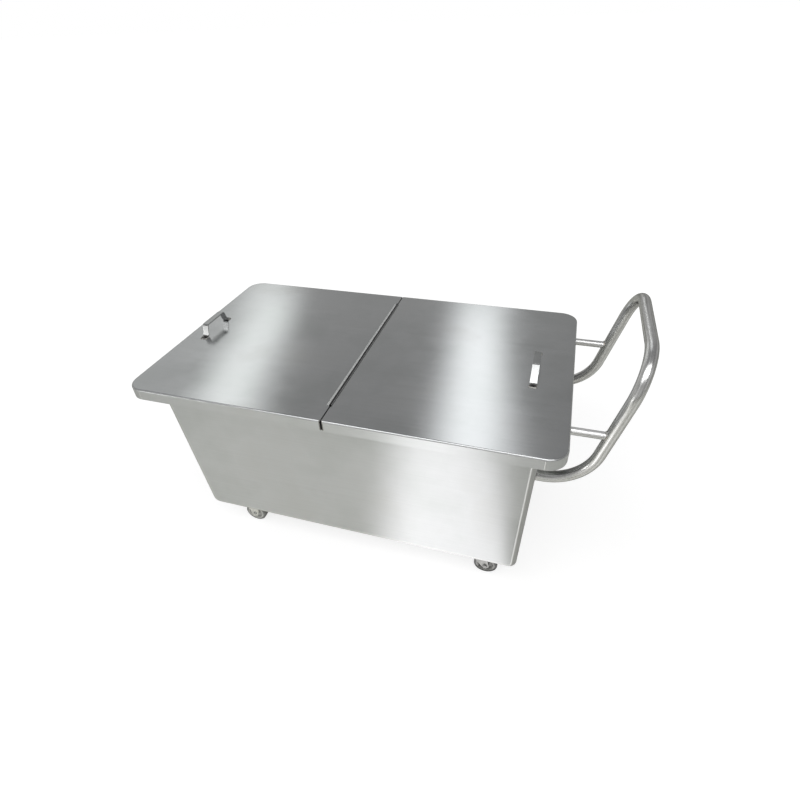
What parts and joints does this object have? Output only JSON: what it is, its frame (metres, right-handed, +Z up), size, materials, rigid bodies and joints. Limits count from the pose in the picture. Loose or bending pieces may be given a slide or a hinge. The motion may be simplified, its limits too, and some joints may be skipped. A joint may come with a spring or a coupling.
{
  "type": "meat trolley bin",
  "caption": "Stainless steel tub on casters for moving meat, with a sloped nose, a folding two-part cover with strap pulls, and a bent-tube push bar.",
  "frame": {"origin": "on the ground under the middle of the trolley's overall length and width", "axes": "+X towards the push bar along the trolley, +Y to the pusher's right, +Z up"},
  "size_m": [1.401, 0.75, 0.826],
  "materials": {
    "sheet": "brushed stainless sheet with fine grain and faint scuffs",
    "tube": "satin polished stainless tube",
    "polished": "bright stainless strap and hinge",
    "zinc": "zinc-plated pressed steel",
    "tread": "matt dark rubber",
    "core": "moulded nylon"
  },
  "bodies": {
    "tub": {"tub_wrap": "sheet", "left_side_panel": "sheet", "right_side_panel": "sheet", "rim_flange": "sheet", "push_bar": "tube", "left_brace": "tube", "right_brace": "tube", "caster_pads": "sheet", "caster_bolts": "zinc", "nose_left_fork": "zinc", "nose_left_bush": "zinc", "nose_left_axle": "zinc", "nose_left_nut": "zinc", "nose_right_fork": "zinc", "nose_right_bush": "zinc", "nose_right_axle": "zinc", "nose_right_nut": "zinc", "handle_left_plate": "zinc", "handle_left_kingpin": "zinc", "handle_right_plate": "zinc", "handle_right_kingpin": "zinc"},
    "cover_pin": {"hinge_pin": "polished"},
    "nose_lid": {"nose_lid_pan": "sheet", "nose_hinge_leaf": "polished", "nose_pull": "polished"},
    "handle_lid": {"handle_lid_pan": "sheet", "handle_hinge_leaf": "polished", "handle_pull": "polished"},
    "left_swivel": {"handle_left_fork": "zinc", "handle_left_balls": "zinc", "handle_left_bush": "zinc", "handle_left_axle": "zinc", "handle_left_nut": "zinc"},
    "right_swivel": {"handle_right_fork": "zinc", "handle_right_balls": "zinc", "handle_right_bush": "zinc", "handle_right_axle": "zinc", "handle_right_nut": "zinc"},
    "nose_left_wheel": {"nose_left_tread": "tread", "nose_left_core": "core"},
    "nose_right_wheel": {"nose_right_tread": "tread", "nose_right_core": "core"},
    "handle_left_wheel": {"handle_left_tread": "tread", "handle_left_core": "core"},
    "handle_right_wheel": {"handle_right_tread": "tread", "handle_right_core": "core"}
  },
  "joints": [
    {"name": "cover_lift", "type": "slide", "parent": "tub", "child": "cover_pin", "axis": [0, 0, 1], "range_m": [0, 0.12]},
    {"name": "nose_lid_fold", "type": "hinge", "parent": "cover_pin", "child": "nose_lid", "pos_m": [-0.083, 0, 0.6257], "axis": [0, 1, 0], "range_deg": [0, 175]},
    {"name": "handle_lid_fold", "type": "hinge", "parent": "cover_pin", "child": "handle_lid", "pos_m": [-0.083, 0, 0.6257], "axis": [0, 1, 0], "range_deg": [-175, 0]},
    {"name": "left_caster_swivel", "type": "hinge", "parent": "tub", "child": "left_swivel", "pos_m": [0.33559, -0.254, 0.0984], "axis": [0, 0, 1], "continuous": true},
    {"name": "right_caster_swivel", "type": "hinge", "parent": "tub", "child": "right_swivel", "pos_m": [0.33559, 0.254, 0.0984], "axis": [0, 0, 1], "continuous": true},
    {"name": "nose_left_wheel_spin", "type": "hinge", "parent": "tub", "child": "nose_left_wheel", "pos_m": [-0.46558, -0.254, 0.0375], "axis": [0, 1, 0], "continuous": true},
    {"name": "nose_right_wheel_spin", "type": "hinge", "parent": "tub", "child": "nose_right_wheel", "pos_m": [-0.46558, 0.254, 0.0375], "axis": [0, 1, 0], "continuous": true},
    {"name": "handle_left_wheel_spin", "type": "hinge", "parent": "left_swivel", "child": "handle_left_wheel", "pos_m": [0.36359, -0.254, 0.0375], "axis": [0, 1, 0], "continuous": true},
    {"name": "handle_right_wheel_spin", "type": "hinge", "parent": "right_swivel", "child": "handle_right_wheel", "pos_m": [0.36359, 0.254, 0.0375], "axis": [0, 1, 0], "continuous": true}
  ]
}
